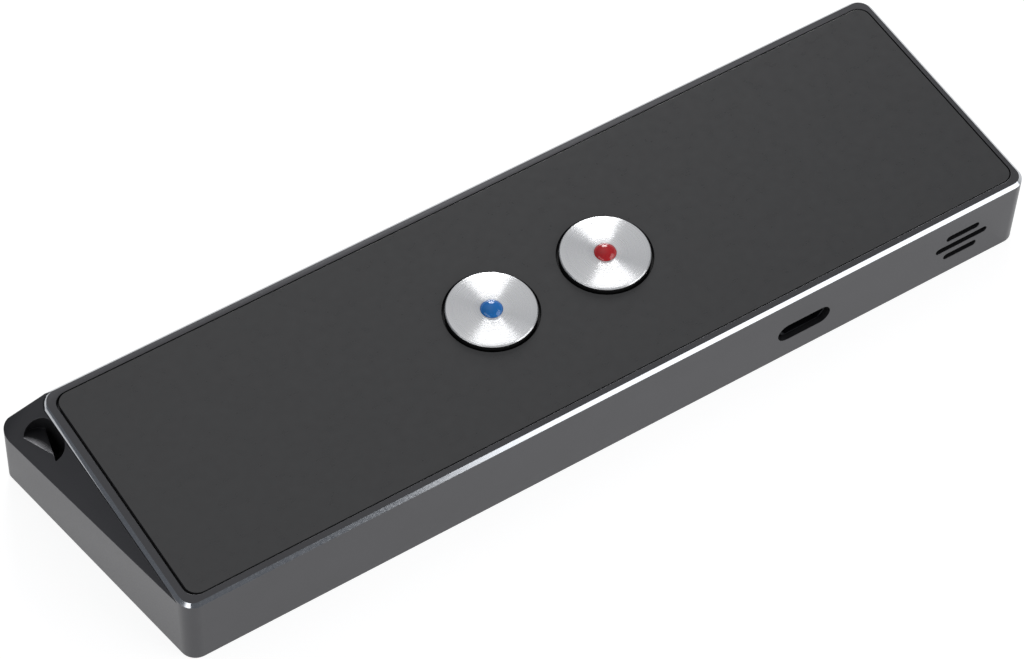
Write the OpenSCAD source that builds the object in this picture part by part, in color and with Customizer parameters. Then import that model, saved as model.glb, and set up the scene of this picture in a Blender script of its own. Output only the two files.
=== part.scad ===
// Handheld voice translator: a slim machined aluminium stick with two round push buttons.
// Millimetres. X runs along the body, Y from the front face to the back, Z up.
// The origin is under the middle of the body, on the surface that it lies on.

/* [Body] */
// Length of the body, end to end
body_l = 136; // [134:0.5:140]
// Width of the body, front face to back face
body_w = 38.25; // [38:0.25:40]
// Height of the body without the buttons
body_h = 12.3; // [12.3:0.1:12.8]
// How much further the slanted left end reaches at the back than at the front
end_skew = 6.15; // [5.5:0.05:6.5]
// Radius of the upright corners
corner_r = 2.2; // [1.8:0.1:2.4]
// Radius of the pointed back left corner
tip_r = 1.5; // [1.2:0.1:1.8]
// Radius of the upright corner where the step meets the back face
step_corner_r = 2.4; // [2.2:0.1:2.8]
// Width of the bright cut chamfer round the top edge
chamfer = 0.45; // [0.3:0.05:0.6]
// Width of the small chamfer round the bottom edge
base_chamfer = 0.15; // [0.1:0.05:0.4]
// Thickness of the floor
floor_t = 1.2; // [1:0.1:1.4]
// Thickness of the side walls
wall_t = 2.2; // [2:0.1:2.3]

/* [Ledge and lanyard slot] */
// Distance from the left end to the step where the ledge begins
step_d = 5.5; // [5.2:0.1:5.6]
// Height of the ledge at the front corner of the body
ledge_z = 11.52; // [11.4:0.01:11.8]
// Slope of the ledge down to the left end, in degrees
ledge_slope = 24.4; // [20:0.1:26]
// Rise of the lip along the back edge of the ledge, in degrees
lip_slope = 31.4; // [28:0.1:34]
// Width of the lanyard slot
slot_w = 3.9; // [3.4:0.1:3.9]
// Length of the lanyard slot
slot_l = 6.9; // [6:0.1:7]
// Distance from the back face to the lanyard slot
slot_back = 2.1; // [1.9:0.1:2.5]
// Slope of the ramp inside the lanyard slot, measured from the ledge, in degrees
ramp_slope = 40; // [30:1:45]
// Turn of the ramp's foot away from the length of the slot, in degrees
ramp_turn = 22.6; // [18:0.1:26]
// Width of the part of the slot that goes right through
through_w = 1.9; // [1.6:0.1:2.2]
// Turn of that part's outer wall away from the length of the slot, in degrees
through_turn = 15.7; // [10:0.1:20]

/* [Top plate] */
// Thickness of the top plate
plate_t = 0.8; // [0.6:0.1:1]
// Width of the gap round the top plate, on three sides
plate_gap = 0.15; // [0.1:0.05:0.25]
// Width of the gap at the step
step_gap = 0.35; // [0.2:0.05:0.45]
// Width of the metal rim along the front and back
rim_w = 1.35; // [1.2:0.05:1.4]
// Width of the rim at the right end
end_rim = 1.1; // [1:0.05:1.2]
// Width of the rim at the step
step_rim = 1.42; // [1.4:0.01:1.8]
// Thickness of the tape under the top plate
tape_t = 0.2; // [0.1:0.05:0.25]

/* [Buttons] */
// Diameter of a button cap
cap_d = 12.2; // [11.8:0.1:12.4]
// Height of a button cap above the top plate
cap_rise = 0.65; // [0.5:0.05:0.9]
// Width of the gap round a button cap
cap_gap = 0.4; // [0.25:0.05:0.45]
// Distance between the two buttons, centre to centre
button_pitch = 17.8; // [17:0.1:18.5]
// Place of the blue button along the body
blue_x = -5.6; // [-6:0.1:-5]
// Travel of a button
travel = 0.3; // [0.2:0.05:0.35]
// Diameter of a coloured dome
dome_d = 3; // [2.6:0.1:3.2]
// Height of a coloured dome
dome_h = 0.75; // [0.6:0.05:0.9]

/* [USB socket and grille] */
// Place of the USB opening along the body
usb_x = 31.7; // [31:0.1:32.5]
// Height of the middle of the USB opening
usb_z = 5.3; // [5.2:0.05:5.35]
// Width of the USB opening
usb_w = 8.4; // [8:0.1:8.8]
// Height of the USB opening
usb_h = 3.2; // [3:0.1:3.4]
// Place of the middle of the grille along the body
grille_x = 57.65; // [57:0.05:58]
// Lengths of the grille slots, from the bottom up
grille_l = [5.45, 8.5, 5.45];
// Heights of the middles of the grille slots, from the bottom up
grille_z = [3.85, 5.85, 7.75];
// Width of a grille slot
grille_w = 1.1; // [0.8:0.05:1.1]

/* [Board and battery] */
// Thickness of the circuit board
board_t = 1; // [0.8:0.1:1]
// Thickness of the battery cell
cell_t = 7.5; // [6:0.5:8]
// Width of the battery cell
cell_w = 30; // [28:1:31]
// Length of the battery cell
cell_l = 36; // [34:1:36]

/* [Hidden] */
$fn = 64;
cut = 1;

// Outline of the body
half_l = body_l / 2;
half_w = body_w / 2;
end_len = sqrt(body_w * body_w + end_skew * end_skew);
tip_x = -half_l - tip_r * ((end_len + end_skew) / body_w - 1);
end_x = tip_x + end_skew;
front_left = [end_x + corner_r * (end_len - end_skew) / body_w, corner_r - half_w, corner_r];
front_right = [half_l - corner_r, corner_r - half_w, corner_r];
back_right = [half_l - corner_r, half_w - corner_r, corner_r];
back_left = [tip_r - half_l, half_w - tip_r, tip_r];
step_x = step_d - half_l;

// Shell of the micro-USB socket, which stands on four legs on the board
socket_w = 7.5;
socket_h = 2.7;
socket_l = 5;
socket_wall = 0.25;
socket_stand = 0.85;

// Heights of what is stacked under the top plate
plate_z = body_h - plate_t;
shelf_z = plate_z - tape_t;
board_top = usb_z - socket_h / 2 - socket_stand;
board_z = board_top - board_t;

// The plate's opening in the body, and the cavity below it
pocket_x0 = step_x + step_rim;
pocket_x1 = half_l - end_rim;
pocket_y = half_w - rim_w;
pocket_r = 1.9;
cavity_x0 = step_x + 5;
cavity_x1 = half_l - 2.4;
cavity_y = half_w - wall_t;
cavity_r = 2;

// Buttons, from the top down
red_x = blue_x + button_pitch;
cap_top = body_h + cap_rise;
cap_t = 1.95;
cap_z = cap_top - cap_t;
cap_bevel = [0.12, 0.2];
dome_seat = 0.3;
carrier_flange_d = cap_d + 2.2;
carrier_flange_z = cap_z - 1;
carrier_top = plate_z - 0.1;
skirt_d = 10;
skirt_z = carrier_flange_z - 2;
boss_z = carrier_flange_z - 1.4;
slide_clearance = 0.1;
stem_d = 2;
boss_r = 2;
light_bore_r = 0.8;

// Lit tact switch, 6 mm square
switch_w = 6;
switch_h = 3.5;
switch_floor = board_top + 1.3;
plunger_d = 3.4;
plunger_flange_r = 2.1;
plunger_flange_z = switch_floor + 0.9;

// Button frame and its four screws
frame_t = 1.2;
frame_z = carrier_flange_z - travel - 0.3 - frame_t;
frame_x0 = blue_x - 11.8;
frame_x1 = red_x + 11.8;
frame_y = 11.8;
post_r = 1.8;
post_x = [frame_x0 + post_r, frame_x1 - post_r];
post_y = frame_y - post_r;
screw_r = 0.64;
screw_hole_r = 0.65;
screw_pass_r = 0.9;
screw_bottom = 0.6;
board_screw_places = [[61.5, 13], [43.5, 13], [42.5, -12.5]];

// Board and battery
board_x0 = -18;
board_x1 = cavity_x1 - 0.6;
board_y = cavity_y - 0.4;
cell_x0 = cavity_x0 + 0.5;
cell_z = floor_t + 0.15;
lead_z = 5;
battery_socket_x = -16.8;

// Loudspeaker in its chamber, behind the two upper grille slots
chamber_x0 = 46;
chamber_x1 = 64.6;
chamber_y0 = -cavity_y + 0.5;
chamber_y1 = 2.2;
chamber_z0 = 4.4;
chamber_z1 = 8.8;
chamber_wall = 0.8;
driver_x = (chamber_x0 + chamber_x1) / 2;
driver_y = -7.4;
driver_r = 7.5;

// A plate with rounded corners, from x0, y0 to x1, y1
module rounded_plate(x0, x1, y0, y1, r, h) {
    linear_extrude(h) {
        translate([x0 + r, y0]) square([x1 - x0 - 2 * r, y1 - y0]);
        translate([x0, y0 + r]) square([x1 - x0, y1 - y0 - 2 * r]);
        for (x = [x0 + r, x1 - r], y = [y0 + r, y1 - r]) translate([x, y]) circle(r);
    }
}

// A box with its lower corner at p
module block(p, size) {
    translate(p) cube(size);
}

// A slot through the front wall: length along X, width along Z
module wall_slot(x, z, l, w) {
    translate([x, -half_w - cut, z]) rotate([-90, 0, 0]) linear_extrude(wall_t + 2 * cut) {
        square([l - w, w], center = true);
        for (side = [-1, 1]) translate([side * (l - w) / 2, 0]) circle(w / 2);
    }
}

// The space above the slope of the ledge and above the steeper slope of the lip along its back edge
module above_slopes() {
    crease = 17.5;
    crease_dx = -0.5;
    intersection() {
        translate([end_x, 0, ledge_z]) rotate([0, -ledge_slope, 0]) block([-30, -30, 0], [60, 60, 20]);
        translate([end_x + crease_dx, half_w, ledge_z])
            rotate([0, -ledge_slope, 0]) rotate([0, 0, crease]) rotate([lip_slope, 0, 0])
                block([-40, -60, 0], [80, 80, 30]);
    }
}

// Everything above the sloping ledge, with the lip along its back edge left standing
module above_ledge() {
    intersection() {
        above_slopes();
        block([-half_l - cut, -half_w - cut, 5], [step_d + cut, body_w + 2 * cut, 10]);
    }
}

// The lanyard slot: a ramp goes down from the ledge, and the part beside the step goes right through
module lanyard_slot() {
    r = slot_w / 2;
    x = step_x - r;
    back_y = half_w - slot_back - r;
    front_y = back_y - slot_l + slot_w;
    foot_x = step_x - through_w;
    ramp_foot_y = front_y - 1.15;
    through_foot_y = front_y - 0.85;
    intersection() {
        translate([0, 0, -cut]) linear_extrude(body_h + 2 * cut) {
            for (y = [front_y, back_y]) translate([x, y]) circle(r);
            translate([x - r, front_y]) square([slot_w, slot_l - slot_w]);
        }
        union() {
            translate([foot_x, ramp_foot_y, ledge_z + (foot_x - end_x) * tan(ledge_slope)])
                rotate([0, -ledge_slope, 0]) rotate([0, 0, ramp_turn]) rotate([0, ramp_slope, 0])
                    block([-20, -20, 0], [40, 40, 20]);
            translate([foot_x, through_foot_y, -2 * cut]) rotate(-through_turn)
                block([0, -10, 0], [20, 20, body_h + 4 * cut]);
        }
    }
}

// Rounds and chamfers the upright corner where the step meets the back face, down to the lip
module step_corner_cut() {
    r = step_corner_r;
    centre = [step_x + r, half_w - r];
    difference() {
        intersection() {
            above_slopes();
            block([step_x - 0.01, centre.y, 5], [r + 0.01, r + cut, body_h]);
        }
        hull() {
            translate([centre.x, centre.y, 0]) cylinder(r = r, h = body_h - chamfer, $fn = 48);
            translate([centre.x, centre.y, 0]) cylinder(r = r - chamfer, h = body_h, $fn = 48);
        }
    }
}

// Machined aluminium tray, dark anodised, with the top edge cut bright
module body_shell() {
    color([0.2, 0.2, 0.21]) difference() {
        hull() for (c = [front_left, front_right, back_right, back_left]) translate([c.x, c.y, 0]) {
            cylinder(r = c.z - base_chamfer, h = body_h - chamfer, $fn = 48);
            translate([0, 0, base_chamfer]) cylinder(r = c.z, h = body_h - chamfer - base_chamfer, $fn = 48);
            cylinder(r = c.z - chamfer, h = body_h, $fn = 48);
        }
        above_ledge();
        lanyard_slot();
        step_corner_cut();
        translate([step_x, 0, body_h - chamfer]) rotate([0, -45, 0])
            block([0, -half_w - cut, 0], [3, body_w + 2 * cut, 3]);
        translate([0, 0, shelf_z])
            rounded_plate(pocket_x0, pocket_x1, -pocket_y, pocket_y, pocket_r, body_h);
        difference() {
            translate([0, 0, floor_t])
                rounded_plate(cavity_x0, cavity_x1, -cavity_y, cavity_y, cavity_r, body_h);
            for (x = post_x, y = [-post_y, post_y]) translate([x, y, 0]) cylinder(r = post_r, h = board_z);
            for (p = board_screw_places) translate([p.x, p.y, 0]) cylinder(r = post_r, h = board_z);
        }
        for (x = post_x, y = [-post_y, post_y])
            translate([x, y, screw_bottom]) cylinder(r = screw_hole_r, h = body_h);
        for (p = board_screw_places)
            translate([p.x, p.y, screw_bottom]) cylinder(r = screw_hole_r, h = body_h);
        wall_slot(usb_x, usb_z, usb_w, usb_h);
        for (i = [0:2]) wall_slot(grille_x, grille_z[i], grille_l[i], grille_w);
    }
}

// Inlaid satin plate with two round holes for the buttons
module top_plate() {
    color([0.27, 0.27, 0.27]) difference() {
        translate([0, 0, plate_z]) rounded_plate(
            pocket_x0 + step_gap, pocket_x1 - plate_gap,
            plate_gap - pocket_y, pocket_y - plate_gap, pocket_r - plate_gap, plate_t);
        for (x = [blue_x, red_x])
            translate([x, 0, plate_z - cut]) cylinder(d = cap_d + 2 * cap_gap, h = plate_t + 2 * cut);
    }
}

// Die-cut tape that holds the top plate on its shelf
module plate_adhesive() {
    inset = 0.4;
    overlap = 0.1;
    color([0.1, 0.1, 0.1]) difference() {
        translate([0, 0, shelf_z]) rounded_plate(
            pocket_x0 + inset, pocket_x1 - inset,
            inset - pocket_y, pocket_y - inset, pocket_r - inset, tape_t);
        translate([0, 0, shelf_z - cut]) rounded_plate(
            cavity_x0 + overlap, cavity_x1 - overlap, overlap - cavity_y, cavity_y - overlap,
            cavity_r - overlap, tape_t + 2 * cut);
    }
}

// Turned aluminium button cap with a bevelled edge and a bore for the dome's stem
module button_cap(x) {
    cap_r = cap_d / 2;
    bore_r = stem_d / 2 + 0.02;
    color([0.85, 0.86, 0.87]) translate([x, 0, cap_z]) rotate_extrude() polygon([
        [bore_r, 0], [cap_r, 0], [cap_r, cap_t - cap_bevel.y], [cap_r - cap_bevel.x, cap_t],
        [dome_d / 2, cap_t], [dome_d / 2, cap_t - dome_seat], [bore_r, cap_t - dome_seat]
    ]);
}

// Clear coloured dome with a stem that carries the light up through the cap
module button_lens(x, tint) {
    dome_r = (dome_d * dome_d / 4 + dome_h * dome_h) / (2 * dome_h);
    foot_d = dome_d - 0.04;
    color(tint) translate([x, 0, 0]) {
        translate([0, 0, cap_z]) cylinder(d = stem_d, h = cap_t - dome_seat / 2);
        translate([0, 0, cap_top - dome_seat]) cylinder(d = foot_d, h = dome_seat);
        intersection() {
            translate([0, 0, cap_top + dome_h - dome_r]) sphere(dome_r);
            translate([0, 0, cap_top]) cylinder(d = foot_d, h = dome_h + cut);
        }
    }
}

// Moulded carrier: a cup for the cap, a flange that stays under the plate, and a guide skirt
module button_carrier(x) {
    cup_r = cap_d / 2 + 0.05;
    skirt_r = skirt_d / 2;
    skirt_inner_r = skirt_r - 1;
    color([0.12, 0.12, 0.13]) translate([x, 0, 0]) rotate_extrude() polygon([
        [light_bore_r, boss_z], [boss_r, boss_z], [boss_r, carrier_flange_z],
        [skirt_inner_r, carrier_flange_z], [skirt_inner_r, skirt_z], [skirt_r, skirt_z],
        [skirt_r, carrier_flange_z], [carrier_flange_d / 2, carrier_flange_z],
        [carrier_flange_d / 2, carrier_top], [cup_r, carrier_top], [cup_r, cap_z], [light_bore_r, cap_z]
    ]);
}

// Frame that guides both carriers, standing on the board on four posts
module button_frame() {
    color([0.15, 0.15, 0.16]) difference() {
        union() {
            translate([0, 0, frame_z])
                rounded_plate(frame_x0, frame_x1, -frame_y, frame_y, post_r, frame_t);
            for (x = post_x, y = [-post_y, post_y])
                translate([x, y, board_top]) cylinder(r = post_r, h = frame_z - board_top + 0.1);
        }
        for (x = [blue_x, red_x]) translate([x, 0, frame_z - cut])
            cylinder(d = skirt_d + 2 * slide_clearance, h = frame_t + 2 * cut);
        for (x = post_x, y = [-post_y, post_y])
            translate([x, y, 0]) cylinder(r = screw_pass_r, h = body_h);
    }
}

// Translucent plunger of a lit switch, kept in by its flange
module switch_plunger(x) {
    flange_top = plunger_flange_z + 0.5;
    color([0.92, 0.92, 0.9]) translate([x, 0, 0]) rotate_extrude() polygon([
        [0, plunger_flange_z], [plunger_flange_r, plunger_flange_z], [plunger_flange_r, flange_top],
        [plunger_d / 2, flange_top], [plunger_d / 2, boss_z], [0, boss_z]
    ]);
}

// Square switch housing with a well for the snap dome and a round hole in its lid
module switch_housing(x) {
    well_h = 1.6;
    color([0.08, 0.08, 0.08]) translate([x, 0, 0]) difference() {
        block([-switch_w / 2, -switch_w / 2, board_top], [switch_w, switch_w, switch_h]);
        translate([0, 0, switch_floor]) cylinder(r = plunger_flange_r + slide_clearance, h = well_h);
        translate([0, 0, switch_floor]) cylinder(r = plunger_d / 2 + slide_clearance / 2, h = switch_h);
    }
}

// Sprung steel washer that clicks and pushes the plunger back up
module snap_dome(x) {
    foot_r = plunger_flange_r;
    rise = plunger_flange_z - switch_floor;
    sheet = 0.1;
    color([0.75, 0.75, 0.76]) translate([x, 0, switch_floor]) rotate_extrude() polygon([
        [foot_r, 0], [foot_r, sheet], [1, rise], [0.9, rise], [0.9, rise - sheet], [foot_r - sheet, 0]
    ]);
}

// Small light-emitting diode in the middle of a switch
module switch_led(x, tint) {
    color(tint) block([x - 0.7, -0.35, switch_floor], [1.4, 0.7, 0.5]);
}

// Bent tin-plated legs of both switches, soldered to the board
module switch_terminals() {
    color([0.8, 0.8, 0.78])
        for (x = [blue_x, red_x], side = [-1, 1], y = [-2.25, 2.25])
            translate([x + side * switch_w / 2, y - 0.35, board_top]) mirror([side < 0 ? 1 : 0, 0, 0]) {
                cube([1.6, 0.7, 0.2]);
                cube([0.2, 0.7, 1.2]);
            }
}

// Circuit board, one millimetre thick
module main_board() {
    color([0.05, 0.28, 0.16]) difference() {
        translate([0, 0, board_z]) rounded_plate(board_x0, board_x1, -board_y, board_y, 1.5, board_t);
        for (x = post_x, y = [-post_y, post_y])
            translate([x, y, 0]) cylinder(r = screw_pass_r, h = body_h);
        for (p = board_screw_places) translate([p.x, p.y, 0]) cylinder(r = screw_pass_r, h = body_h);
    }
}

// A chip centred at x, y on the board, with a row of legs on two sides if it has any
module chip(x, y, l, w, h, legs = 0) {
    block([x - l / 2, y - w / 2, board_top + (legs > 0 ? 0.1 : 0)], [l, w, h]);
    pitch = 1.27;
    leg = [0.4, 0.9, 0.25];
    if (legs > 0) for (i = [0:legs - 1], side = [-1, 1])
        translate([x + (i - (legs - 1) / 2) * pitch, y + side * (w / 2 + leg.x), board_top])
            translate([-leg.x / 2, -leg.y / 2, 0]) cube(leg);
}

module processor() {
    color([0.07, 0.07, 0.08]) chip((blue_x + red_x) / 2, -8, 7, 7, 0.9);
}

module memory_chip() {
    color([0.07, 0.07, 0.08]) chip((blue_x + red_x) / 2, 8, 5, 4, 1.5, legs = 4);
}

module radio_shield() {
    size = [13, 10, 2];
    corner = [27, 1, board_top];
    sheet = 0.2;
    color([0.75, 0.75, 0.77]) difference() {
        block(corner, size);
        block(corner + [sheet, sheet, -cut], size + [-2 * sheet, -2 * sheet, cut - sheet]);
    }
}

module antenna() {
    color([0.9, 0.9, 0.85]) chip(52, 14.5, 8, 2, 1.2);
}

module charger_chip() {
    color([0.07, 0.07, 0.08]) chip(28, -7, 3, 3, 0.8);
}

module amplifier_chip() {
    color([0.07, 0.07, 0.08]) chip(40.5, -5, 3, 3, 0.8);
}

module inductor() {
    color([0.25, 0.25, 0.26]) chip(34, -7, 4, 4, 1.8);
}

module crystal() {
    color([0.8, 0.8, 0.78]) chip(13, -12.5, 3.2, 2.5, 0.8);
}

// Rows of small resistors and capacitors
module board_passives() {
    color([0.55, 0.45, 0.35]) {
        for (i = [0:5]) chip(-8 + i * 2.2, -14.5, 1, 0.5, 0.45);
        for (i = [0:6]) chip(-8 + i * 2.2, 13.5, 1.6, 0.8, 0.8);
        for (i = [0:4]) chip(27 + i * 2.4, 14, 1, 0.5, 0.45);
        for (i = [0:3]) chip(44 + i * 2.2, 6, 1.6, 0.8, 0.8);
        for (i = [0:3]) chip(25 + i * 2, -11, 1, 0.5, 0.45);
    }
}

// Stamped steel shell of the micro-USB socket, raised off the board on four legs
module usb_shell() {
    back_t = 0.3;
    leg = [0.8, 0.6, socket_stand + 0.1];
    color([0.8, 0.8, 0.8]) {
        translate([usb_x, -half_w + 0.7, usb_z]) rotate([-90, 0, 0]) difference() {
            linear_extrude(socket_l) usb_profile(socket_w, socket_h);
            translate([0, 0, -cut]) linear_extrude(socket_l - back_t + cut)
                usb_profile(socket_w - 2 * socket_wall, socket_h - 2 * socket_wall);
        }
        for (side = [-1, 1], y = [-half_w + 2.8, -half_w + 4.9])
            block([usb_x + side * 2.2 - leg.x / 2, y, board_top], leg);
    }
}

// Outline of a micro-USB socket, with wide cuts at its lower corners: Y points down here
module usb_profile(w, h) {
    top_cut = 0.4;
    polygon([
        [top_cut - w / 2, -h / 2], [w / 2 - top_cut, -h / 2], [w / 2, top_cut - h / 2],
        [w / 2, h / 2 - 1.1], [w / 2 - 0.9, h / 2], [0.9 - w / 2, h / 2],
        [-w / 2, h / 2 - 1.1], [-w / 2, top_cut - h / 2]
    ]);
}

// Plastic tongue with its block at the back of the socket
module usb_tongue() {
    color([0.1, 0.1, 0.1]) {
        block([usb_x - 1.9, -half_w + 1.6, usb_z + 0.15], [3.8, 3.1, 0.6]);
        block([usb_x - 2.4, -half_w + 4.4, usb_z - 1.05], [4.8, 1, 2]);
    }
}

// Five gold contacts under the tongue
module usb_contacts() {
    color([0.85, 0.68, 0.3]) for (i = [-2:2])
        block([usb_x + i * 0.65 - 0.15, -half_w + 1.8, usb_z + 0.03], [0.3, 2.6, 0.12]);
}

// Lithium polymer pouch cell with a folded seal at the terminal end
module battery_cell() {
    r = 1.6;
    color([0.72, 0.72, 0.74]) {
        hull() for (y = [r - cell_w / 2, cell_w / 2 - r], z = [cell_z + r, cell_z + cell_t - r])
            translate([cell_x0, y, z]) rotate([0, 90, 0]) cylinder(r = r, h = cell_l - 1, $fn = 32);
        block([cell_x0 + cell_l - 1, 2 - cell_w / 2, cell_z + 2], [0.6, cell_w - 4, 2]);
    }
}

// Narrow board that guards the cell, standing against its terminal end
module battery_protection_board() {
    color([0.05, 0.28, 0.16])
        block([cell_x0 + cell_l - 0.4, -12, cell_z + 1], [0.8, 24, 4.6]);
}

// One battery lead, straight from the guard board to the socket
module battery_lead(y, tint) {
    x0 = cell_x0 + cell_l + 0.4;
    color(tint) translate([x0, y, lead_z]) rotate([0, 90, 0]) cylinder(d = 1, h = battery_socket_x - x0);
}

module battery_socket() {
    color([0.9, 0.88, 0.8]) block([battery_socket_x, -3, board_top], [4.2, 6, 3]);
}

module battery_tape() {
    color([0.9, 0.9, 0.9]) block([cell_x0 + 1.6, 2 - cell_w / 2, floor_t], [cell_l - 4, cell_w - 4, 0.15]);
}

// Soft pad between the cell and the top plate
module battery_foam() {
    color([0.15, 0.15, 0.15])
        block([cell_x0 + 7, -10, cell_z + cell_t], [22, 20, plate_z - cell_z - cell_t]);
}

// Sound chamber with a round hole in its roof for the driver and a mouth towards the grille
module speaker_chamber() {
    inner_l = chamber_x1 - chamber_x0 - 2 * chamber_wall;
    inner_h = chamber_z1 - chamber_z0 - 1.4;
    color([0.12, 0.12, 0.13]) {
        difference() {
            block([chamber_x0, chamber_y0, chamber_z0],
                [chamber_x1 - chamber_x0, chamber_y1 - chamber_y0, chamber_z1 - chamber_z0]);
            block([chamber_x0 + chamber_wall, chamber_y0 + chamber_wall, chamber_z0 + 0.6],
                [inner_l, chamber_y1 - chamber_y0 - 2 * chamber_wall, inner_h]);
            block([grille_x - 5, chamber_y0 - cut, chamber_z0 + 0.6], [10, 2 * cut, inner_h]);
            translate([driver_x, driver_y, chamber_z1 - cut]) cylinder(r = 6.9, h = 2 * cut);
        }
        for (x = [chamber_x0, chamber_x1 - 2], y = [chamber_y0, chamber_y1 - 2])
            block([x, y, board_top], [2, 2, chamber_z0 - board_top]);
    }
}

// A ring turned about the driver's axis
module driver_ring(profile) {
    translate([driver_x, driver_y, chamber_z1]) rotate_extrude() polygon(profile);
}

module speaker_basket() {
    color([0.7, 0.7, 0.72])
        driver_ring([[6.7, 0], [driver_r, 0], [driver_r, 1.3], [4.62, 1.3], [4.62, 1], [6.7, 1]]);
}

module speaker_yoke() {
    color([0.6, 0.6, 0.62]) driver_ring([
        [0, 1.6], [4.1, 1.6], [4.1, 0.7], [4.6, 0.7], [4.6, 2.1], [0, 2.1]
    ]);
}

module speaker_magnet() {
    color([0.35, 0.35, 0.37]) driver_ring([[0, 0.9], [3.2, 0.9], [3.2, 1.6], [0, 1.6]]);
}

module speaker_pole() {
    color([0.65, 0.65, 0.67]) driver_ring([[0, 0.6], [3.25, 0.6], [3.25, 0.9], [0, 0.9]]);
}

module voice_coil() {
    color([0.75, 0.4, 0.2]) driver_ring([[3.45, 0.1], [3.85, 0.1], [3.85, 0.95], [3.45, 0.95]]);
}

// Thin film with a rolled edge, glued to the coil and to the basket
module speaker_diaphragm() {
    color([0.85, 0.8, 0.6]) driver_ring([
        [0, 0.3], [1.8, 0.22], [3.4, 0], [4, 0], [4.8, 0.25], [5.6, 0.25], [6.3, 0], [6.7, 0],
        [6.7, 0.1], [6.35, 0.1], [5.65, 0.35], [4.75, 0.35], [3.95, 0.1], [3.45, 0.1], [1.8, 0.32], [0, 0.4]
    ]);
}

// Two enamelled wires from the board up to the driver
module speaker_leads() {
    wire_r = 0.3;
    wire_x = chamber_x0 - 0.7;
    wire_z = chamber_z1 + 0.6;
    color([0.7, 0.15, 0.1]) for (y = [driver_y - 1, driver_y + 1]) {
        translate([wire_x, y, board_top]) cylinder(r = wire_r, h = wire_z - board_top);
        translate([wire_x, y, wire_z]) sphere(wire_r);
        translate([wire_x, y, wire_z]) rotate([0, 90, 0])
            cylinder(r = wire_r, h = driver_x - driver_r - wire_x);
    }
}

// Foam frame that seals the chamber's mouth to the wall
module grille_gasket() {
    color([0.1, 0.1, 0.1]) difference() {
        block([grille_x - 6, -cavity_y, chamber_z0 + 0.1], [12, 0.5, chamber_z1 - chamber_z0 - 0.2]);
        block([grille_x - 4.8, -cavity_y - cut, chamber_z0 + 0.8], [9.6, 0.5 + 2 * cut, 3.1]);
    }
}

// Fine steel dust mesh behind the two upper slots
module grille_mesh() {
    color([0.3, 0.3, 0.3]) block([grille_x - 4.8, -cavity_y, chamber_z0 + 0.8], [9.6, 0.15, 3.1]);
}

module microphone() {
    color([0.8, 0.75, 0.55]) block([grille_x - 1.75, -cavity_y + 1.2, board_top], [3.5, 2.65, 1.1]);
}

// Rubber boot that seals the microphone to the lowest slot, with a sound bore
module microphone_boot() {
    color([0.1, 0.1, 0.1]) difference() {
        block([grille_x - 2.25, -cavity_y, board_top], [4.5, 1.2, 1.2]);
        translate([grille_x, -cavity_y - cut, board_top + 0.65]) rotate([-90, 0, 0])
            cylinder(d = 0.8, h = 1.2 + 2 * cut);
    }
}

// A pan-head screw with a cross recess: z is the underside of its head
module screw(x, y, z) {
    translate([x, y, 0]) difference() {
        union() {
            translate([0, 0, screw_bottom + 0.1]) cylinder(r = screw_r, h = z - screw_bottom);
            translate([0, 0, z]) cylinder(r = 1.4, h = 0.7);
        }
        for (turn = [0, 90]) rotate(turn) block([-0.8, -0.15, z + 0.3], [1.6, 0.3, cut]);
    }
}

// Four long screws through the frame and the board into the body
module frame_screws() {
    color([0.6, 0.6, 0.62])
        for (x = post_x, y = [-post_y, post_y]) screw(x, y, frame_z + frame_t);
}

// Three short screws through the board into the body
module board_screws() {
    color([0.6, 0.6, 0.62]) for (p = board_screw_places) screw(p.x, p.y, board_top);
}

body_shell();
top_plate();
plate_adhesive();
button_cap(blue_x);  // button_cap_blue
button_cap(red_x);  // button_cap_red
button_lens(blue_x, [0.1, 0.35, 0.7]);  // button_lens_blue
button_lens(red_x, [0.7, 0.12, 0.12]);  // button_lens_red
button_carrier(blue_x);  // button_carrier_blue
button_carrier(red_x);  // button_carrier_red
button_frame();
switch_plunger(blue_x);  // switch_plunger_blue
switch_plunger(red_x);  // switch_plunger_red
switch_housing(blue_x);  // switch_housing_blue
switch_housing(red_x);  // switch_housing_red
snap_dome(blue_x);  // snap_dome_blue
snap_dome(red_x);  // snap_dome_red
switch_led(blue_x, [0.3, 0.5, 0.9]);  // switch_led_blue
switch_led(red_x, [0.9, 0.3, 0.3]);  // switch_led_red
switch_terminals();
main_board();
processor();
memory_chip();
radio_shield();
antenna();
charger_chip();
amplifier_chip();
inductor();
crystal();
board_passives();
usb_shell();
usb_tongue();
usb_contacts();
battery_cell();
battery_protection_board();
battery_lead(1.2, [0.7, 0.1, 0.1]);  // battery_lead_red
battery_lead(-1.2, [0.1, 0.1, 0.1]);  // battery_lead_black
battery_socket();
battery_tape();
battery_foam();
speaker_chamber();
speaker_basket();
speaker_yoke();
speaker_magnet();
speaker_pole();
voice_coil();
speaker_diaphragm();
speaker_leads();
grille_gasket();
grille_mesh();
microphone();
microphone_boot();
frame_screws();
board_screws();
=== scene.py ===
"""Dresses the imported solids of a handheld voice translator: an aluminium stick with two push buttons."""

import math

import bmesh
import bpy
import numpy as np
from mathutils import Matrix, Vector


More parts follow.
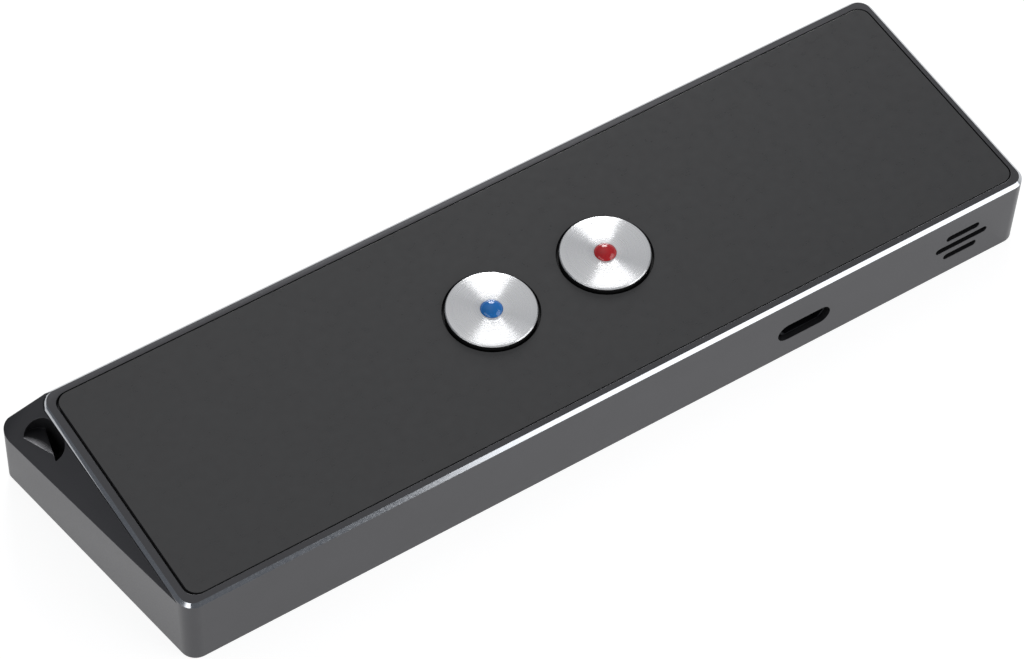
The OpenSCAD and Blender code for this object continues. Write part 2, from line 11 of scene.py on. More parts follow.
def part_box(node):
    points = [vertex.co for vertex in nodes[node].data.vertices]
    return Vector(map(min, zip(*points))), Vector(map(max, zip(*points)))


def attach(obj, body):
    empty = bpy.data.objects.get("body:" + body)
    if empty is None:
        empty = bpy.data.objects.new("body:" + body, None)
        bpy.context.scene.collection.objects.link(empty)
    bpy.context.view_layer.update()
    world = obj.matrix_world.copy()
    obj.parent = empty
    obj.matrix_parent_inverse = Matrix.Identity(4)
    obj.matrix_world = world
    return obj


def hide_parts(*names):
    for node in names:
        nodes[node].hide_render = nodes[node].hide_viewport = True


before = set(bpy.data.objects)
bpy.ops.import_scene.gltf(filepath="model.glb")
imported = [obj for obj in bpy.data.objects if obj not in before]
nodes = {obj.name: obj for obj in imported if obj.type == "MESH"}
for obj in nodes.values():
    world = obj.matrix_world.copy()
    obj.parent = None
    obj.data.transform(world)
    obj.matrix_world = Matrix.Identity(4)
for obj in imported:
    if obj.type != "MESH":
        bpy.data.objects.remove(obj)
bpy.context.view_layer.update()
MM = 0.001


# --------------------------------------------------------------------------------------------------
# Body shell: a tray milled from one bar of aluminium, bead blasted and dyed dark grey in the
# anodising bath. After that a diamond tool cuts the bright chamfer round its top edge. All other
# pieces go into it.
# --------------------------------------------------------------------------------------------------


def linear(hex_colour):
    """Linear RGBA of an sRGB colour written as '#RRGGBB'."""
    srgb = np.array([int(hex_colour[i:i + 2], 16) for i in (1, 3, 5)]) / 255
    return (*np.where(srgb <= 0.04045, srgb / 12.92, ((srgb + 0.055) / 1.055) ** 2.4).tolist(), 1.0)


def add(tree, kind, inputs=(), **settings):
    """Adds a shader node. settings are its own choices. inputs maps a socket to a value, or to an
    output that feeds it."""
    made = tree.nodes.new("ShaderNode" + kind)
    for choice, value in settings.items():
        setattr(made, choice, value)
    for socket, value in dict(inputs).items():
        if isinstance(value, bpy.types.NodeSocket):
            tree.links.new(value, made.inputs[socket])
        else:
            made.inputs[socket].default_value = value
    return made


def new_finish(name, **constants):
    """A material with its sockets set to constants, its node tree, its shader, and the place on the
    object in millimetres."""
    material = bpy.data.materials.new(name)
    material.use_nodes = True
    tree = material.node_tree
    shader = tree.nodes["Principled BSDF"]
    for socket, value in constants.items():
        shader.inputs[socket.replace("_", " ")].default_value = value
    place = add(tree, "TexCoord").outputs["Object"]
    in_mm = add(tree, "Mapping", {"Vector": place, "Scale": (1 / MM, 1 / MM, 1 / MM)})
    return material, tree, shader, in_mm.outputs["Vector"]


def anodised_aluminium():
    """Blasted and anodised aluminium: a dim metal with a satin, slightly sandy gloss, and a dye that
    changes a little along the bar."""
    dyed, worn = linear("#4A4A4C"), linear("#505053")
    grain_mm = 0.22          # the blast marks are 0.1 mm wide, drawn coarser so that they show
    cloud_mm = 9.0           # slow change of the dye along the bar
    material, tree, shader, place = new_finish("anodised_aluminium", Metallic=0.85)
    cloud = add(tree, "TexNoise", {"Vector": place, "Scale": 1 / cloud_mm, "Detail": 3.0})
    grain = add(tree, "TexNoise", {"Vector": place, "Scale": 1 / grain_mm, "Detail": 2.0, "Roughness": 0.6})
    tone = add(tree, "Mix", {0: cloud.outputs["Fac"], 6: dyed, 7: worn}, data_type="RGBA")
    gloss = add(tree, "MapRange", {"Value": grain.outputs["Fac"], "To Min": 0.3, "To Max": 0.42})
    bump = add(tree, "Bump", {"Height": grain.outputs["Fac"], "Strength": 0.25, "Distance": 0.004 * MM})
    tree.links.new(tone.outputs[2], shader.inputs["Base Color"])
    tree.links.new(gloss.outputs["Result"], shader.inputs["Roughness"])
    tree.links.new(bump.outputs["Normal"], shader.inputs["Normal"])
    return material


def cut_aluminium():
    """Bare aluminium left by a diamond tool: a bright mirror with faint marks at the tool's feed."""
    feed_mm = 0.4            # the real feed is 0.05 mm, drawn coarser so that it shows
    material, tree, shader, place = new_finish("diamond_cut_aluminium", Metallic=1.0)
    marks = add(tree, "TexNoise", {"Vector": place, "Scale": 1 / feed_mm, "Detail": 3.0, "Roughness": 0.7})
    tone = add(tree, "Mix", {0: marks.outputs["Fac"], 6: linear("#A4A7AC"), 7: linear("#B8BABD")},
               data_type="RGBA")
    gloss = add(tree, "MapRange", {"Value": marks.outputs["Fac"], "To Min": 0.06, "To Max": 0.2})
    bump = add(tree, "Bump", {"Height": marks.outputs["Fac"], "Strength": 0.2, "Distance": 0.004 * MM})
    tree.links.new(tone.outputs[2], shader.inputs["Base Color"])
    tree.links.new(gloss.outputs["Result"], shader.inputs["Roughness"])
    tree.links.new(bump.outputs["Normal"], shader.inputs["Normal"])
    return material


def smooth_between(mesh, sharpest_deg):
    """Smooth shading, with an edge left sharp where its two faces meet at more than that angle."""
    mesh.shade_smooth()
    mesh.set_sharp_from_angle(angle=math.radians(sharpest_deg))


def finished_copy(node, name, edge_mm, corner_deg=25.0, broken_deg=50.0, flat_deg=0.5, weld_mm=0.002):
    """A copy of a CAD node's mesh, merged and with its flat faces joined. Edges sharper than
    broken_deg are broken by edge_mm."""
    mesh = nodes[node].data.copy()
    mesh.name = name
    work = bmesh.new()
    work.from_mesh(mesh)
    bmesh.ops.remove_doubles(work, verts=work.verts, dist=weld_mm * MM)
    flat = math.radians(flat_deg)
    bmesh.ops.dissolve_limit(work, angle_limit=flat, verts=work.verts, edges=work.edges)
    work.to_mesh(mesh)
    work.free()
    piece = bpy.data.objects.new(name, mesh)
    bpy.context.scene.collection.objects.link(piece)
    smooth_between(mesh, corner_deg)
    bevel = piece.modifiers.new("broken_edges", "BEVEL")
    bevel.width = edge_mm * MM
    bevel.segments = 2
    bevel.angle_limit = math.radians(broken_deg)
    bevel.use_clamp_overlap = False
    bevel.harden_normals = True
    return piece


body_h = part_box("body_shell")[1].z
chamfer = 0.45 * MM
steepest, flattest = 0.6, 0.8    # upward share of the chamfer's normal, which is 0.71 at 45 degrees
shell = finished_copy("body_shell", "machined_shell", edge_mm=0.05)
shell.data.materials.clear()
shell.data.materials.append(anodised_aluminium())
shell.data.materials.append(cut_aluminium())
count = len(shell.data.polygons)
normal, centre = np.empty(count * 3), np.empty(count * 3)
shell.data.polygons.foreach_get("normal", normal)
shell.data.polygons.foreach_get("center", centre)
normal_z, centre_z = normal.reshape(-1, 3)[:, 2], centre.reshape(-1, 3)[:, 2]
on_slope = (normal_z > steepest) & (normal_z < flattest)
on_chamfer = on_slope & (centre_z > body_h - chamfer) & (centre_z < body_h)
shell.data.polygons.foreach_set("material_index", on_chamfer.astype(np.int32))
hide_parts("body_shell")
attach(shell, "housing")


# --------------------------------------------------------------------------------------------------
# Circuit board: glass-epoxy laminate with copper tracks under a green solder mask. The parts are
# reflow soldered to its upper side, and three short screws hold its right half to the body.
# --------------------------------------------------------------------------------------------------


def dress(material, *names):
    """Gives these CAD nodes one material in place of their plain colour."""
    for name in names:
        nodes[name].data.materials.clear()
        nodes[name].data.materials.append(material)


def circuit_board():
    """Solder mask: a glossy green skin, lighter over the copper tracks, which stand up under it."""
    track_mm = 0.8
    cell_mm = 3 * track_mm
    track_edge, track_full = 0.38, 0.46      # distance from a cell's middle, as shares of a cell
    material, tree, shader, place = new_finish("solder_masked_laminate", Roughness=0.32, IOR=1.5)
    tracks = add(tree, "TexVoronoi", {"Vector": place, "Scale": 1 / cell_mm, "Randomness": 0.6},
                 distance="MANHATTAN", feature="F1")
    line = add(tree, "MapRange", {"Value": tracks.outputs["Distance"], "From Min": track_edge,
                                  "From Max": track_full}, interpolation_type="SMOOTHSTEP")
    tone = add(tree, "Mix", {0: line.outputs["Result"], 6: linear("#0E4A2C"), 7: linear("#1B6A41")},
               data_type="RGBA")
    bump = add(tree, "Bump", {"Height": line.outputs["Result"], "Strength": 0.4, "Distance": 0.03 * MM})
    tree.links.new(tone.outputs[2], shader.inputs["Base Color"])
    tree.links.new(bump.outputs["Normal"], shader.inputs["Normal"])
    return material


def mottled(name, dark, light, size_mm, rough, bump_mm, **constants):
    """A finish whose colour and roughness wander between two values over size_mm, with a bump of
    bump_mm."""
    material, tree, shader, place = new_finish(name, **constants)
    patch = add(tree, "TexNoise", {"Vector": place, "Scale": 1 / size_mm, "Detail": 4.0, "Roughness": 0.6})
    tone = add(tree, "Mix", {0: patch.outputs["Fac"], 6: linear(dark), 7: linear(light)}, data_type="RGBA")
    gloss = add(tree, "MapRange", {"Value": patch.outputs["Fac"], "To Min": rough[0], "To Max": rough[1]})
    bump = add(tree, "Bump", {"Height": patch.outputs["Fac"], "Strength": 0.5, "Distance": bump_mm * MM})
    tree.links.new(tone.outputs[2], shader.inputs["Base Color"])
    tree.links.new(gloss.outputs["Result"], shader.inputs["Roughness"])
    tree.links.new(bump.outputs["Normal"], shader.inputs["Normal"])
    return material


# Epoxy moulding resin: dull charcoal with a fine sandy skin from the spark-eroded mould
chip_resin = mottled("epoxy_moulding_resin", "#17181A", "#242527", 0.12, (0.5, 0.65), 0.01)
# Tin plate on thin sheet: pale, soft-bright metal with broad crystal patches
tin_plate = mottled("tin_plate", "#B4B5B4", "#D2D3D1", 1.2, (0.22, 0.38), 0.005, Metallic=1.0)
# Fired ceramic: chalky cream body
ceramic = mottled("fired_ceramic", "#BFB49A", "#D8CFB8", 0.3, (0.55, 0.7), 0.01)
# Ferrite: pressed black-grey powder, slightly sparkling
ferrite = mottled("pressed_ferrite", "#333436", "#4A4B4D", 0.15, (0.45, 0.6), 0.015)
# Zinc-plated screw steel: cool grey with a satin gloss
screw_steel = mottled("zinc_plated_steel", "#8C8F94", "#A9ABB0", 0.5, (0.25, 0.4), 0.004, Metallic=1.0)

laminate = circuit_board()
dress(laminate, "main_board", "battery_protection_board")
dress(chip_resin, "processor", "memory_chip", "charger_chip", "amplifier_chip")
dress(tin_plate, "radio_shield", "crystal", "switch_terminals")
dress(ceramic, "antenna", "board_passives")
dress(ferrite, "inductor")
dress(screw_steel, "board_screws")


# --------------------------------------------------------------------------------------------------
# USB socket: a stamped shell of black-nickel plated steel on the board, with a moulded tongue and
# gold contacts. It stands back a little from the outer face, so that the opening looks black.
# --------------------------------------------------------------------------------------------------

# Black nickel on steel: nearly black, with a dim satin gloss and faint rolling marks
black_nickel = mottled("black_nickel_steel", "#26272A", "#34353A", 0.6, (0.3, 0.45), 0.004, Metallic=0.9)
# Moulded black plastic (glass-filled nylon): dull, with a fine grain
black_plastic = mottled("glass_filled_nylon", "#121214", "#1D1D20", 0.2, (0.45, 0.6), 0.01)
# Gold flash over nickel: warm bright metal
gold = mottled("gold_flash", "#C79A45", "#DDB566", 0.4, (0.18, 0.3), 0.003, Metallic=1.0)
dress(black_nickel, "usb_shell")
dress(black_plastic, "usb_tongue")
dress(gold, "usb_contacts")


# --------------------------------------------------------------------------------------------------
# Lit tact switches: a nylon housing, a sprung steel snap dome, a small light and a milky plunger
# over it. Their tinned terminals are soldered to the board, one switch under each button.
# --------------------------------------------------------------------------------------------------

# Rolled spring steel: bright, with faint streaks
spring_steel = mottled("spring_steel", "#A5A6A8", "#C4C5C7", 0.8, (0.2, 0.34), 0.003, Metallic=1.0)
# Milky polycarbonate: soft white that lets the light through
milky_plastic = mottled("milky_polycarbonate", "#DDDCD6", "#EBEAE4", 1.5, (0.3, 0.42), 0.004,
                        Transmission_Weight=0.25, IOR=1.58)
# Clear epoxy on a light chip, tinted by what it shines
blue_light = mottled("blue_light_epoxy", "#5A8FE6", "#7FAAF0", 0.5, (0.1, 0.2), 0.002, IOR=1.53)
red_light = mottled("red_light_epoxy", "#E65A5A", "#F07F7F", 0.5, (0.1, 0.2), 0.002, IOR=1.53)
dress(black_plastic, "switch_housing_blue", "switch_housing_red")
dress(spring_steel, "snap_dome_blue", "snap_dome_red")
dress(milky_plastic, "switch_plunger_blue", "switch_plunger_red")
dress(blue_light, "switch_led_blue")
dress(red_light, "switch_led_red")


# --------------------------------------------------------------------------------------------------
# Battery: a lithium polymer pouch on double-sided tape, its guard board, two leads and their
# socket. A foam pad keeps it from rattling against the plate.
# --------------------------------------------------------------------------------------------------

# Laminated aluminium foil: wrinkled, soft-bright grey
pouch_foil = mottled("laminated_foil", "#9FA2A6", "#C2C4C8", 2.5, (0.25, 0.42), 0.12, Metallic=0.9)
# Silicone insulation on the leads
red_silicone = mottled("red_silicone", "#A31515", "#B82222", 0.6, (0.42, 0.52), 0.004)
black_silicone = mottled("black_silicone", "#161616", "#212121", 0.6, (0.42, 0.52), 0.004)
# Ivory nylon of the socket
ivory_nylon = mottled("ivory_nylon", "#D9CFB4", "#E6DDC6", 0.4, (0.4, 0.52), 0.008)
# Paper tape: flat white with short fibres
white_tape = mottled("paper_tape", "#DEDCD6", "#EEEDE9", 0.35, (0.75, 0.9), 0.01)
# Open-cell foam: black, with pores half a millimetre wide
foam = mottled("open_cell_foam", "#0E0E0E", "#2A2A2A", 0.5, (0.9, 1.0), 0.2)
dress(pouch_foil, "battery_cell")
dress(red_silicone, "battery_lead_red")
dress(black_silicone, "battery_lead_black")
dress(ivory_nylon, "battery_socket")
dress(white_tape, "battery_tape")
dress(foam, "battery_foam", "grille_gasket")


# --------------------------------------------------------------------------------------------------
# Loudspeaker: a driver in its chamber behind the two upper slots, with a dust mesh and a foam seal
# at the wall. The microphone sits in a rubber boot behind the lowest slot.
# --------------------------------------------------------------------------------------------------


def woven_mesh():
    """Blackened steel wire cloth: dark metal with a square weave."""
    pitch_mm = 0.25          # distance between wires
    bands = 3.2              # a wave texture has about 20 / (2 pi) bands in each unit of its scale
    material, tree, shader, place = new_finish("blackened_wire_cloth", Metallic=0.8, Roughness=0.5)
    shader.inputs["Base Color"].default_value = linear("#1C1C1E")
    warp = add(tree, "TexWave", {"Vector": place, "Scale": 1 / (pitch_mm * bands)}, bands_direction="X")
    weft = add(tree, "TexWave", {"Vector": place, "Scale": 1 / (pitch_mm * bands)}, bands_direction="Z")
    cloth = add(tree, "Math", {0: warp.outputs["Fac"], 1: weft.outputs["Fac"]}, operation="MAXIMUM")
    bump = add(tree, "Bump", {"Height": cloth.outputs["Value"], "Strength": 0.8, "Distance": 0.08 * MM})
    tree.links.new(bump.outputs["Normal"], shader.inputs["Normal"])
    return material


# Sintered magnet and its plated iron
magnet_plate = mottled("nickel_plated_magnet", "#8F9194", "#AFB1B4", 0.7, (0.2, 0.32), 0.003, Metallic=1.0)
# Enamelled copper wire: brown-red and glossy
copper_wire = mottled("enamelled_copper", "#8A3A18", "#A9502A", 0.3, (0.2, 0.3), 0.01, Metallic=0.9)
# Thin polyester film: straw colour, glossy
speaker_film = mottled("polyester_film", "#C9B98C", "#D8CAA2", 1.0, (0.25, 0.4), 0.01)
# Silicone rubber of the microphone's boot
boot_rubber = mottled("silicone_rubber", "#161617", "#202022", 0.4, (0.6, 0.7), 0.006)
dress(woven_mesh(), "grille_mesh")
dress(black_plastic, "speaker_chamber")
dress(spring_steel, "speaker_basket")
dress(magnet_plate, "speaker_yoke", "speaker_magnet", "speaker_pole")
dress(copper_wire, "voice_coil", "speaker_leads")
dress(speaker_film, "speaker_diaphragm")
dress(gold, "microphone")
dress(boot_rubber, "microphone_boot")


# --------------------------------------------------------------------------------------------------
# Button frame: a moulded nylon guide for both carriers. Four long screws of zinc-plated steel hold
# it down over the board.
# --------------------------------------------------------------------------------------------------

dress(black_plastic, "button_frame")
dress(screw_steel, "frame_screws")


# --------------------------------------------------------------------------------------------------
# Top plate: sheet aluminium under a dark satin lacquer, laid into the tray on a frame of black
# tape. A fine gap runs round it. Its left third is left plain.
# --------------------------------------------------------------------------------------------------


def satin_lacquer():
    """Sprayed satin lacquer: an even dark grey with a soft sheen, faint orange peel and a few specks
    of dust."""
    peel_mm, cell_mm = 1.4, 2.6
    speck_edge, speck_core = 0.03, 0.018     # where a speck starts and is full, as shares of a cell
    empty_share = 0.93                       # share of the cells that have no speck
    material, tree, shader, place = new_finish("satin_lacquer", IOR=1.5)
    peel = add(tree, "TexNoise", {"Vector": place, "Scale": 1 / peel_mm, "Detail": 3.0})
    cells = add(tree, "TexVoronoi", {"Vector": place, "Scale": 1 / cell_mm, "Randomness": 1.0})
    speck = add(tree, "MapRange", {"Value": cells.outputs["Distance"], "From Min": speck_edge,
                                   "From Max": speck_core})
    pick = add(tree, "Math", {0: cells.outputs["Color"], 1: empty_share}, operation="GREATER_THAN")
    dust = add(tree, "Math", {0: speck.outputs["Result"], 1: pick.outputs["Value"]}, operation="MULTIPLY")
    even = add(tree, "Mix", {0: peel.outputs["Fac"], 6: linear("#343435"), 7: linear("#383839")},
               data_type="RGBA")
    tone = add(tree, "Mix", {0: dust.outputs["Value"], 6: even.outputs[2], 7: linear("#5A5A5A")},
               data_type="RGBA")
    gloss = add(tree, "MapRange", {"Value": peel.outputs["Fac"], "To Min": 0.25, "To Max": 0.32})
    bump = add(tree, "Bump", {"Height": peel.outputs["Fac"], "Strength": 0.3, "Distance": 0.004 * MM})
    tree.links.new(tone.outputs[2], shader.inputs["Base Color"])
    tree.links.new(gloss.outputs["Result"], shader.inputs["Roughness"])
    tree.links.new(bump.outputs["Normal"], shader.inputs["Normal"])
    return material


# Acrylic foam tape: matt black
black_tape = mottled("acrylic_foam_tape", "#0F0F10", "#18181A", 0.4, (0.7, 0.85), 0.006)
dress(black_tape, "plate_adhesive")
plate = finished_copy("top_plate", "inlaid_plate", edge_mm=0.06)
plate.data.materials.clear()
plate.data.materials.append(satin_lacquer())
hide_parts("top_plate")
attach(plate, "housing")


# --------------------------------------------------------------------------------------------------
# Buttons: an aluminium cap with a bright turned face and bevel, and a near-black side that is painted shade
# for the dark gap round it, glued into a carrier that slides in the frame. A clear coloured dome sits in
# the cap's middle, and its stem brings up the light of the switch.
# --------------------------------------------------------------------------------------------------


def turned(name, profile_mm, middle, steps, material, crease_deg=24.0, weld_mm=0.0005):
    """A surface turned about an upright axis: for each profile point (r, z) and each of the equal
    angles a, the vertex is middle + (r cos a, r sin a, z). A profile that starts and ends on the axis
    closes there, and any other profile closes on itself. The UV map holds the length along the
    profile in metres and the share of the turn."""
    profile = np.asarray(profile_mm, float) * MM
    starts_on_axis = profile[0, 0] == 0.0
    rows = len(profile)
    strips = rows - 1 if starts_on_axis else rows
    angle = np.arange(steps) * 2 * np.pi / steps
    radius = np.broadcast_to(profile[:, :1], (rows, steps))
    height = np.broadcast_to(profile[:, 1:], (rows, steps))
    grid = np.stack([middle.x + radius * np.cos(angle), middle.y + radius * np.sin(angle), height], axis=-1)
    row, step = np.meshgrid(np.arange(strips), np.arange(steps), indexing="ij")
    after, beside = (row + 1) % rows, (step + 1) % steps
    quads = np.stack([row * steps + step, row * steps + beside,
                      after * steps + beside, after * steps + step], axis=-1).reshape(-1, 4)
    mesh = bpy.data.meshes.new(name)
    mesh.from_pydata(grid.reshape(-1, 3).tolist(), [], quads.tolist())
    run = np.concatenate([[0], np.cumsum(np.linalg.norm(np.diff(profile, axis=0), axis=1))])
    run = np.append(run, run[-1] + np.linalg.norm(profile[0] - profile[-1]))
    u = np.stack([run[row], run[row], run[row + 1], run[row + 1]], axis=-1)
    v = np.stack([step, step + 1, step + 1, step], axis=-1) / steps
    mesh.uv_layers.new(name="turning").data.foreach_set("uv", np.stack([u, v], axis=-1).ravel())
    work = bmesh.new()
    work.from_mesh(mesh)
    bmesh.ops.remove_doubles(work, verts=work.verts, dist=weld_mm * MM)
    bmesh.ops.recalc_face_normals(work, faces=work.faces)
    work.to_mesh(mesh)
    work.free()
    smooth_between(mesh, crease_deg)
    mesh.materials.append(material)
    piece = bpy.data.objects.new(name, mesh)
    bpy.context.scene.collection.objects.link(piece)
    return piece


def arc(centre_r, centre_z, radius, start_deg, end_deg, points):
    """Points (r, z) on a circle about (centre_r, centre_z), from one angle to the other."""
    angle = np.radians(np.linspace(start_deg, end_deg, points))
    return np.stack([centre_r + radius * np.cos(angle), centre_z + radius * np.sin(angle)], axis=-1)


def spun_aluminium():
    """Turned face of bare aluminium: grooves round the axis throw the light outwards, so that a lamp
    shows as two bright sectors that meet in the middle."""
    ring_mm = 0.3            # the real grooves are 0.05 mm apart, drawn coarser so that they show
    material, tree, shader, _ = new_finish("spun_aluminium", Metallic=0.85, Anisotropic=1.0)
    turning = add(tree, "UVMap", uv_map="turning")
    along = add(tree, "SeparateXYZ", {0: turning.outputs["UV"]})
    rings = add(tree, "TexNoise", {"W": along.outputs["X"], "Scale": 1 / (ring_mm * MM), "Detail": 3.0,
                                   "Roughness": 0.8}, noise_dimensions="1D")
    tone = add(tree, "Mix", {0: rings.outputs["Fac"], 6: linear("#ECEDEF"), 7: linear("#FAFAFB")},
               data_type="RGBA")
    gloss = add(tree, "MapRange", {"Value": rings.outputs["Fac"], "To Min": 0.24, "To Max": 0.32})
    tangent = add(tree, "Tangent", direction_type="UV_MAP", uv_map="turning")
    tree.links.new(tone.outputs[2], shader.inputs["Base Color"])
    tree.links.new(gloss.outputs["Result"], shader.inputs["Roughness"])
    tree.links.new(tangent.outputs["Tangent"], shader.inputs["Tangent"])
    return material


def bright_turned_face(cap, side_finish):
    """Gives a cap's upright outer faces side_finish, here a near-black colour painted as the shade in the
    gap round the cap.
    """
    most_rise = 0.2          # upward share of an upright face's normal, at most
    cap.data.materials.append(side_finish)
    normal = np.empty(len(cap.data.polygons) * 3)
    centre = np.empty(len(cap.data.polygons) * 3)
    cap.data.polygons.foreach_get("normal", normal)
    cap.data.polygons.foreach_get("center", centre)
    normal, centre = normal.reshape(-1, 3), centre.reshape(-1, 3)
    axis = (centre.min(axis=0) + centre.max(axis=0)) / 2
    outward = ((centre - axis)[:, :2] * normal[:, :2]).sum(axis=1) > 0
    upright = abs(normal[:, 2]) < most_rise
    cap.data.polygons.foreach_set("material_index", (outward & upright).astype(np.int32))


def dome_plastic(name, deep, bright):
    """Clear dyed acrylic: glossy and deep, with painted shade that darkens the colour towards the rim where
    the surface turns away from the camera, broken up by a swirl.
    """
    swirl_mm = 1.2
    material, tree, shader, place = new_finish(name, Roughness=0.12, IOR=1.49, Transmission_Weight=0.25)
    swirl = add(tree, "TexNoise", {"Vector": place, "Scale": 1 / swirl_mm, "Detail": 2.0})
    rim = add(tree, "LayerWeight", {"Blend": 0.35})
    # painted shade: the colour goes deep where the dome's surface turns away from the camera
    painted_rim_shade = add(tree, "Math", {0: rim.outputs["Facing"], 1: swirl.outputs["Fac"]}, operation="MULTIPLY")
    tone = add(tree, "Mix", {0: painted_rim_shade.outputs["Value"], 6: linear(bright), 7: linear(deep)},
               data_type="RGBA")
    tree.links.new(tone.outputs[2], shader.inputs["Base Color"])
    return material


# All in millimetres: the cap, its bright bevel, the dome's seat in it, its broken edges, and the dome
cap_r, bore_r = 6.1, 1.02
bevel_w, bevel_h = 0.12, 0.2
seat_r, seat_h = 1.5, 0.3
edge_r, foot_break = 0.03, 0.1
face_rings_r = (cap_r - 0.8, 4.0, 2.6)
dome_foot_r, dome_rise, stem_r = 1.48, 0.75, 1.0
cap_steps, dome_steps = 128, 64
bevel_deg = math.degrees(math.atan2(bevel_w, bevel_h))
spun = spun_aluminium()
# Painted shade on the cap's side: dull and nearly black, standing in for the dark gap round the cap
shade_painted_side = mottled("shade_painted_cap_side", "#0C0C0D", "#151516", 0.3, (0.45, 0.6), 0.004)
domes = {
    "blue": dome_plastic("blue_acrylic", "#0F3F96", "#2A86DC"),
    "red": dome_plastic("red_acrylic", "#7A0D16", "#D82E34"),
}
for colour, dome_material in domes.items():
    cap_low, cap_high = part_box(f"button_cap_{colour}")
    middle = (cap_low + cap_high) / 2
    base, top = cap_low.z / MM, cap_high.z / MM
    turn_in = math.tan(math.radians((90 - bevel_deg) / 2)) * edge_r
    cap_profile = np.concatenate([
        [(bore_r, base), (cap_r - foot_break, base), (cap_r, base + foot_break), (cap_r, top - bevel_h)],
        arc(cap_r - bevel_w - turn_in, top - edge_r, edge_r, bevel_deg, 90, 5),
        [(ring_r, top) for ring_r in face_rings_r],
        [(seat_r + edge_r, top)],
        arc(seat_r + edge_r, top - edge_r, edge_r, 90, 180, 4),
        [(seat_r, top - seat_h), (bore_r, top - seat_h)],
    ])
    cap = turned(f"spun_cap_{colour}", cap_profile, middle, cap_steps, spun)
    bright_turned_face(cap, shade_painted_side)
    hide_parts(f"button_cap_{colour}")
    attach(cap, f"button_{colour}")

    ball_r = (dome_foot_r ** 2 + dome_rise ** 2) / (2 * dome_rise)
    rim_deg = math.degrees(math.acos(dome_foot_r / ball_r))
    dome_profile = np.concatenate([
        [(0, base), (stem_r, base), (stem_r, top - seat_h), (dome_foot_r, top - seat_h)],
        arc(0, top + dome_rise - ball_r, ball_r, rim_deg, 90, 20),
    ])
    dome_profile[-1, 0] = 0.0
    dome = turned(f"dome_{colour}", dome_profile, middle, dome_steps, dome_material)
    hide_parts(f"button_lens_{colour}")
    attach(dome, f"button_{colour}")
    dress(black_plastic, f"button_carrier_{colour}")


# --------------------------------------------------------------------------------------------------
# Studio: a white table, a softbox behind at the right, a key lamp at the front right, a long lamp at
# the left that glints on the chamfer's corner, and a sky that is brightest where the plate mirrors
# it. The camera stands where the photograph was taken from.
# --------------------------------------------------------------------------------------------------


def softbox(name, azimuth_deg, height_deg, distance, size, power):
    """A flat lamp that faces the object from azimuth (0 is +X, 90 is +Y) and height in degrees."""
    azimuth, height = math.radians(azimuth_deg), math.radians(height_deg)
    level = math.cos(height)
    way = Vector((math.cos(azimuth) * level, math.sin(azimuth) * level, math.sin(height)))
    lamp = bpy.data.lights.new(name, "AREA")
    lamp.shape = "RECTANGLE"
    lamp.size, lamp.size_y = size
    lamp.energy = power
    stand = bpy.data.objects.new(name, lamp)
    bpy.context.scene.collection.objects.link(stand)
    facing = (-way).to_track_quat("-Z", "Y").to_matrix().to_4x4()
    stand.matrix_world = Matrix.Translation(way * distance) @ facing


def table_top():
    """White acrylic table. What looks at it sees plain white with the object's faint shadow."""
    material, tree, shader, _ = new_finish("white_table", Roughness=0.6)
    shader.inputs["Base Color"].default_value = linear("#E6E6E6")
    looked_at = add(tree, "LightPath")
    seen, mirrored, through = (
        looked_at.outputs[f"Is {ray} Ray"] for ray in ("Camera", "Glossy", "Transmission"))
    either = add(tree, "Math", {0: seen, 1: mirrored}, operation="MAXIMUM")
    any_look = add(tree, "Math", {0: either.outputs["Value"], 1: through}, operation="MAXIMUM")
    glow = add(tree, "Emission", {"Color": (1, 1, 1, 1), "Strength": 0.86})
    paint = add(tree, "BsdfDiffuse", {"Color": linear("#999999")})
    white = add(tree, "AddShader", {0: glow.outputs[0], 1: paint.outputs[0]})
    shown = add(tree, "MixShader", {0: any_look.outputs["Value"], 1: shader.outputs[0],
                                    2: white.outputs[0]})
    tree.links.new(shown.outputs[0], tree.nodes["Material Output"].inputs["Surface"])
    material.cycles.emission_sampling = "NONE"
    return material


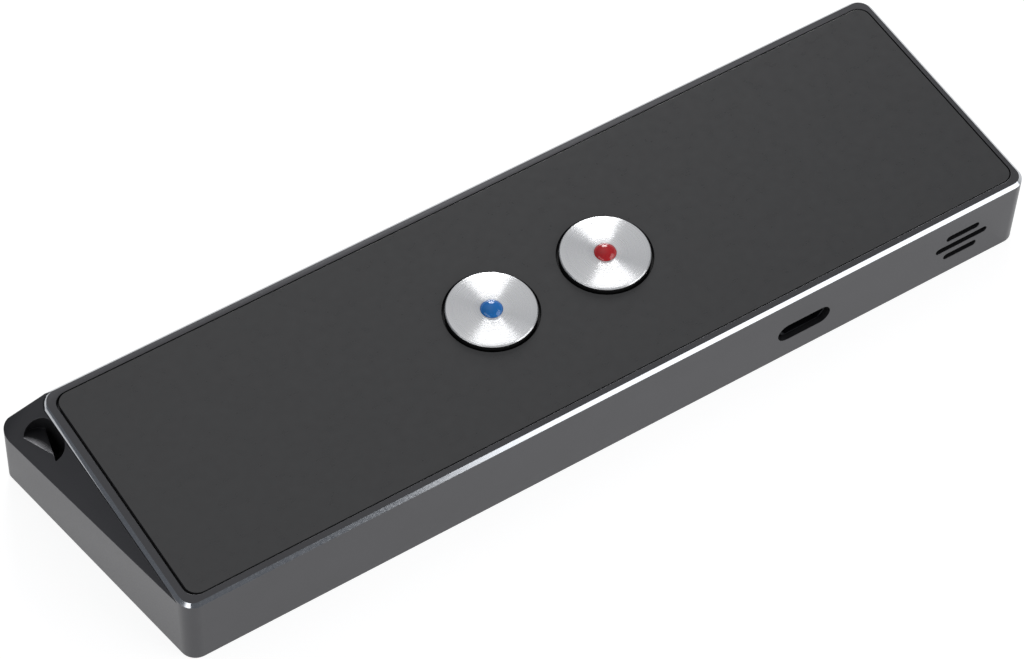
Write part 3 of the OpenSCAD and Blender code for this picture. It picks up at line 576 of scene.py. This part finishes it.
def studio_sky(world, towards, power, dark, bright, level):
    """A sky that goes from dark to bright with a power of the cosine to the direction towards. A
    white band at the horizon meets the table, and stands higher behind the camera."""
    band_up, band_full, band_end = (0.0, 0.25, 1.0), 0.04, 0.1
    world.use_nodes = True
    tree = world.node_tree
    way = add(tree, "TexCoord").outputs["Generated"]
    near = add(tree, "VectorMath", {0: way, 1: towards}, operation="DOT_PRODUCT")
    share = add(tree, "MapRange", {"Value": near.outputs["Value"]})
    lit = add(tree, "Math", {0: share.outputs["Result"], 1: power}, operation="POWER")
    sky = add(tree, "Mix", {0: lit.outputs["Value"], 6: dark, 7: bright}, data_type="RGBA")
    height = add(tree, "VectorMath", {0: way, 1: band_up}, operation="DOT_PRODUCT")
    band = add(tree, "MapRange", {"Value": height.outputs["Value"], "From Min": band_full,
                                  "From Max": band_end, "To Min": 1.0, "To Max": 0.0},
               interpolation_type="SMOOTHSTEP")
    colour = add(tree, "Mix", {0: band.outputs["Result"], 6: sky.outputs[2], 7: (1, 1, 1, 1)},
                 data_type="RGBA")
    background = tree.nodes["Background"]
    tree.links.new(colour.outputs[2], background.inputs["Color"])
    background.inputs["Strength"].default_value = level


half = 20.0                  # from the table's middle to its edge, in metres
corners = [(-half, -half, 0), (half, -half, 0), (half, half, 0), (-half, half, 0)]
table_mesh = bpy.data.meshes.new("table_top")
table_mesh.from_pydata(corners, [], [(0, 1, 2, 3)])
table_mesh.materials.append(table_top())
table = bpy.data.objects.new("table_top", table_mesh)
bpy.context.scene.collection.objects.link(table)

world = bpy.data.worlds.new("studio")
bpy.context.scene.world = world
studio_sky(world, towards=(0.0, 0.42, 0.9), power=6.0, dark=linear("#777A7F"), bright=linear("#DFDFDF"),
           level=1.0)
softbox("back_right", azimuth_deg=59, height_deg=20, distance=1.0, size=(0.40, 0.42), power=5.5)
softbox("key_front_right", azimuth_deg=-47.5, height_deg=27, distance=0.8, size=(0.64, 0.4), power=2.0)
softbox("left_glint", azimuth_deg=-165, height_deg=31, distance=1.0, size=(1.0, 0.16), power=1.3)

# Where the camera stands, in millimetres, and where it looks
camera_place_mm = (-175.45, -246.08, 417.51)
look_azimuth, look_height, camera_roll = 54.849, -53.826, 3.005
lens_mm = 135.72
camera_data = bpy.data.cameras.new("camera")
camera_data.sensor_width = 36.0
camera_data.lens = lens_mm
camera = bpy.data.objects.new("camera", camera_data)
bpy.context.scene.collection.objects.link(camera)
camera.matrix_world = (
    Matrix.Translation(Vector(camera_place_mm) * MM)
    @ Matrix.Rotation(math.radians(look_azimuth - 90), 4, "Z")
    @ Matrix.Rotation(math.radians(90 + look_height), 4, "X")
    @ Matrix.Rotation(math.radians(camera_roll), 4, "Z"))
bpy.context.scene.camera = camera
bpy.context.scene.view_settings.view_transform = "Standard"
